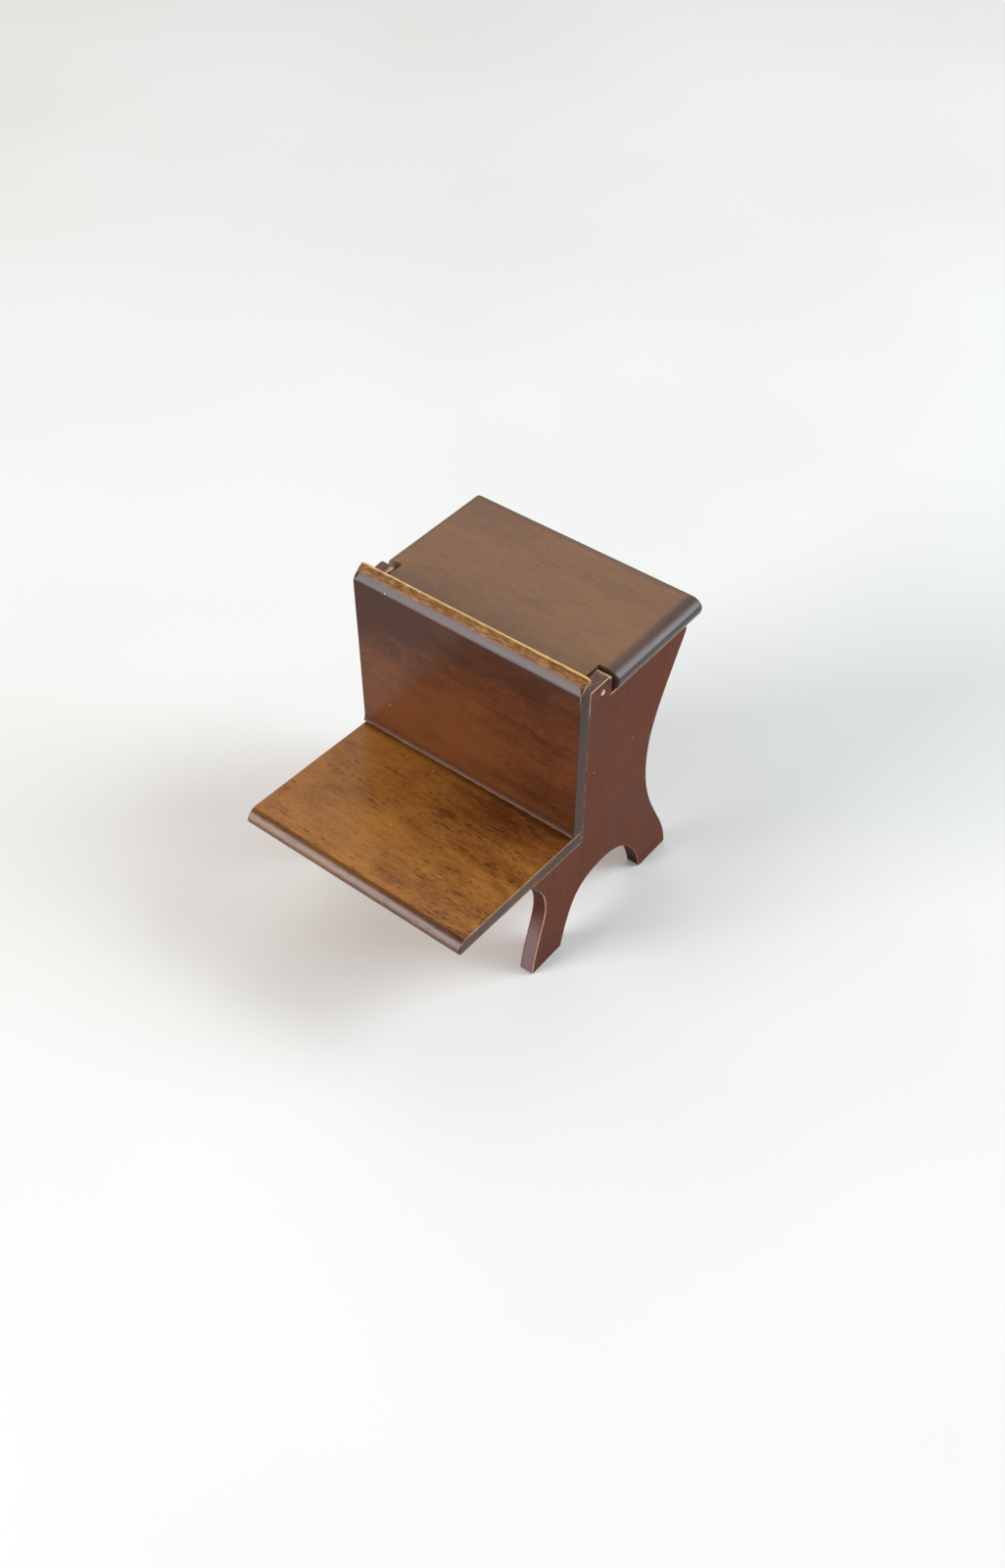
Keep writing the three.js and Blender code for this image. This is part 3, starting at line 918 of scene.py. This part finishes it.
def pore_dashes(g, bent, place, fine):
    """Short dark dashes along the grain, crowded in some places and more in dark ones."""
    scales = (1 / 2.0, 1 / 0.32, 1 / 0.32)
    cells = g.node("ShaderNodeTexVoronoi", {"Vector": g.scaled(bent, scales), "Scale": 1.0})
    ragged = g.centred(fine, 1.4)
    dash = g.remap(g.math("ADD", cells.outputs["Distance"], ragged), 0.1, 0.5, 1.0, 0.0)
    crowd = g.spots(place, 10, 5)
    crowd = g.math("SUBTRACT", crowd, g.math("MULTIPLY", g.attribute("tone_and_light"), 0.45))
    chosen = g.node("ShaderNodeSeparateColor", {0: cells.outputs["Color"]}).outputs[0]
    kept = g.remap(g.math("SUBTRACT", g.remap(crowd, 0.35, 0.85, 0.05, 0.85), chosen), 0.0, 0.08)
    return g.math("MULTIPLY", dash, kept)


def dust_specks(g, place, dust):
    """A few small pale specks that lie on the stain."""
    cells = g.node("ShaderNodeTexVoronoi", {"Vector": place, "Scale": 0.3})
    chosen = g.node("ShaderNodeSeparateColor", {0: cells.outputs["Color"]}).outputs[0]
    speck = g.remap(cells.outputs["Distance"], 0.03, 0.055, 1.0, 0.0)
    return g.math("MULTIPLY", speck, g.remap(chosen, 1 - dust, 1 - dust + 0.02))


def stained_wood(name, dark, light, deep, bare, grain="x", pores=0.3, streaks=0.5, mottle=0.7,
                 roughness=0.42, coat=0.35, specular=0.35, dust=0.1, offset=0.0):
    """Walnut-stained wood: streaks, short dark pores, uneven stain, worn edges and dust, with painted
    light and shade carried by the piece's attributes.
    """
    g = Graph(name)
    place, bent = grain_place(g, grain, offset)
    broad = g.spots(bent, 18, 2.4, roughness=0.55)
    fine = g.spots(bent, 5, 0.4, detail=3.0, roughness=0.6)
    fibre = g.spots(bent, 2.2, 0.12, roughness=0.6)
    cloud = g.spots(place, 12, 7, detail=3.0, roughness=0.6, distortion=0.6)
    fleck = g.spots(place, 1.3, 0.5, detail=3.0, roughness=0.65)
    layers = ((broad, 0.8 * streaks), (fine, 0.7 * streaks), (fibre, 0.5 * streaks),
              (cloud, 1.0 * mottle), (fleck, 0.8 * mottle))
    # The piece's own lighter and darker places, some of them painted light and shade, shift the tone.
    tone_and_light = g.math("ADD", g.attribute("tone_and_light"), 0.5)
    for layer, amount in layers:
        tone_and_light = g.math("ADD", tone_and_light, g.centred(layer, amount))
    colour = g.mix(g.remap(tone_and_light, 0.0, 1.0), dark, light)

    pore = g.math("MULTIPLY", pore_dashes(g, bent, place, fine), pores)
    colour = g.mix(pore, colour, deep)
    # Darker stain and painted shade, towards the deep colour.
    stain_and_shade = g.math("MULTIPLY", g.attribute("stain_and_shade"), g.remap(fleck, 0.25, 0.6, 0.85, 1.0))
    colour = g.mix(stain_and_shade, colour, deep)

    ragged = g.centred(g.spots(place, 1.8, 0.5, detail=3.0, roughness=0.65), 0.75)
    worn = g.attribute("worn")
    ragged = g.math("MULTIPLY", ragged, g.remap(worn, 0.02, 0.3))
    rubbed = g.remap(g.math("ADD", worn, ragged), 0.2, 0.9)
    colour = g.mix(rubbed, colour, bare)

    # Greyed bloom, and a painted sheen where the attribute marks it.
    colour = g.mix(g.attribute("bloom_and_sheen"), colour, BLOOM_AND_SHEEN)
    speck = dust_specks(g, place, dust)
    colour = g.mix(g.math("MULTIPLY", speck, 0.75), colour, DUST)

    rough = g.remap(cloud, 0.3, 0.7, roughness - 0.05, roughness + 0.07)
    rough = g.math("ADD", rough, g.math("MULTIPLY", rubbed, 0.12))
    rough = g.math("ADD", rough, g.math("MULTIPLY", pore, 0.15))
    height = g.math("ADD", g.math("MULTIPLY", fibre, 0.5), g.math("MULTIPLY", fine, 0.6))
    height = g.math("SUBTRACT", height, g.math("MULTIPLY", pore, 1.2))
    height = g.math("ADD", height, g.math("MULTIPLY", speck, 2.0))
    return g.surface({
        "Base Color": colour, "Roughness": rough, "Normal": g.bump(height, 0.5, 0.05),
        "Specular IOR Level": specular, "Coat Weight": coat, "Coat Roughness": COAT_ROUGHNESS,
    })


def panel_wood():
    return stained_wood(
        "panel_wood", dark=srgb(76, 33, 17), light=srgb(110, 54, 31), deep=srgb(30, 13, 9),
        bare=srgb(196, 166, 128), grain="z", pores=0.2, streaks=0.5, mottle=0.6, roughness=0.52,
        coat=0.06, specular=0.08, dust=0.25, offset=31.0)


def backrest_wood():
    return stained_wood(
        "backrest_wood", dark=srgb(54, 26, 12), light=srgb(96, 53, 25), deep=srgb(36, 12, 6),
        bare=srgb(196, 160, 98), pores=0.35, streaks=0.45, mottle=0.9, coat=0.3, specular=0.08,
        offset=57.0)


def seat_wood():
    return stained_wood(
        "seat_wood", dark=srgb(100, 52, 17), light=srgb(170, 111, 46), deep=srgb(42, 21, 12),
        bare=srgb(196, 168, 134), pores=0.75, streaks=0.65, mottle=0.9, coat=0.28, specular=0.14,
        dust=0.16, offset=13.0)


def lid_wood():
    # The deep colour's blue cast, mixed into the darkened rolled edges and the pores, is a painted bluish
    # reflection.
    return stained_wood(
        "lid_wood", dark=srgb(97, 61, 32), light=srgb(130, 87, 49), deep=srgb(18, 22, 42),
        bare=srgb(182, 152, 92), pores=0.3, streaks=0.4, mottle=0.6, coat=0.38, specular=0.3,
        offset=88.0)


def inner_wood():
    return stained_wood(
        "inner_wood", dark=srgb(128, 88, 56), light=srgb(170, 128, 86), deep=srgb(60, 34, 20),
        bare=srgb(196, 164, 118), pores=0.4, roughness=0.6, coat=0.0, dust=0.15, offset=71.0)


def nail_metal():
    """Bare wire with file marks and a little stain left on it."""
    g = Graph("nail_metal")
    place = g.node("ShaderNodeTexCoord").outputs["Object"]
    place = g.scaled(place, (1 / MM,) * 3)
    marks = g.noise(g.scaled(place, (3.0, 14.0, 2.0)), 2.0)
    stain = g.noise(g.scaled(place, (2.2, 2.2, 2.2)), 3.0, 0.6)
    colour = g.mix(g.remap(stain, 0.45, 0.68), srgb(222, 190, 172), srgb(130, 88, 66))
    rough = g.remap(marks, 0.3, 0.7, 0.32, 0.5)
    return g.surface({
        "Base Color": colour, "Roughness": rough, "Normal": g.bump(marks, 0.4, 0.03), "Metallic": 0.75,
    })


def pale_floor():
    g = Graph("pale_floor")
    place = g.node("ShaderNodeTexCoord").outputs["Object"]
    cloud = g.noise(g.scaled(place, (6.0, 6.0, 6.0)), 2.0)
    colour = g.mix(g.remap(cloud, 0.3, 0.7), srgb(226, 222, 216), srgb(231, 228, 222))
    return g.surface({"Base Color": colour, "Roughness": 0.6})


# ---------------------------------------------------------------- stage, light and camera

FLOOR_SIZE = 3.0  # half the side of the floor, in metres

# where the photograph was taken from, in metres and radians, and its lens in millimetres
CAMERA_PLACE = (0.152898, -0.184788, 0.273603)
CAMERA_YAW = 0.663428
CAMERA_PITCH = 0.796469
CAMERA_ROLL = 0.005699
CAMERA_LENS = 37.24


def add_floor():
    low, high = -FLOOR_SIZE, FLOOR_SIZE
    corners = [(low, low, 0), (high, low, 0), (high, high, 0), (low, high, 0)]
    mesh = bpy.data.meshes.new("floor")
    mesh.from_pydata(corners, [], [(0, 1, 2, 3)])
    mesh.materials.append(pale_floor())
    floor = bpy.data.objects.new("floor", mesh)
    bpy.context.scene.collection.objects.link(floor)


def add_light(name, place, target, size, power, colour):
    lamp = bpy.data.lights.new(name, "AREA")
    lamp.shape = "RECTANGLE"
    lamp.size, lamp.size_y = size
    lamp.energy = power
    lamp.color = colour
    holder = bpy.data.objects.new(name, lamp)
    holder.location = place
    holder.rotation_euler = (Vector(target) - Vector(place)).to_track_quat("-Z", "Y").to_euler()
    bpy.context.scene.collection.objects.link(holder)


def add_world(strength, colour):
    world = bpy.data.worlds.new("studio")
    world.use_nodes = True
    back = world.node_tree.nodes["Background"]
    back.inputs[0].default_value = (*colour, 1.0)
    back.inputs[1].default_value = strength
    bpy.context.scene.world = world


def add_camera():
    yaw, pitch, roll = CAMERA_YAW, CAMERA_PITCH, CAMERA_ROLL
    back = Vector((math.sin(yaw) * math.cos(pitch), -math.cos(yaw) * math.cos(pitch), math.sin(pitch)))
    level = Vector((math.cos(yaw), math.sin(yaw), 0))
    upright = back.cross(level)
    right = level * math.cos(roll) + upright * math.sin(roll)
    up = upright * math.cos(roll) - level * math.sin(roll)
    turned = Matrix((right, up, back)).transposed().to_4x4()
    data = bpy.data.cameras.new("camera")
    data.lens = CAMERA_LENS
    data.sensor_width = 36
    data.clip_start, data.clip_end = 0.01, 20
    camera = bpy.data.objects.new("camera", data)
    camera.matrix_world = Matrix.Translation(CAMERA_PLACE) @ turned
    bpy.context.scene.collection.objects.link(camera)
    bpy.context.scene.camera = camera


def add_lights():
    """Soft window light from the front left, a cooler one from the rear right, and a little from above."""
    add_light("front", place=(-0.47, -0.92, 0.40), target=(0, 0, 0.04), size=(0.6, 0.55), power=15.0,
              colour=(0.97, 0.97, 1.0))
    add_light("above", place=(-0.42, 0.56, 0.78), target=(0, 0, 0.04), size=(0.9, 0.7), power=2.0,
              colour=(1.0, 0.98, 0.95))
    add_light("side", place=(0.72, 0.62, 0.70), target=(0, 0, 0.06), size=(0.6, 0.85), power=12.4,
              colour=(0.76, 0.89, 1.0))


def build_object():
    panels, metal = panel_wood(), nail_metal()
    for side in (-1, 1):
        side_panel(side, panels)
        hinge_pin(side, metal)
    backrest(backrest_wood())
    seat(seat_wood())
    lid(lid_wood())
    inner = inner_wood()
    plain_board("box_floor", "compartment_floor", FLOOR_LOW, FLOOR_HIGH, inner, seed=11)
    plain_board("box_rear", "rear_board", REAR_LOW, REAR_HIGH, inner, seed=13)


build_object()
add_floor()
add_lights()
add_world(0.35, (1.0, 1.0, 1.0))
add_camera()
bpy.context.scene.view_settings.view_transform = "Standard"
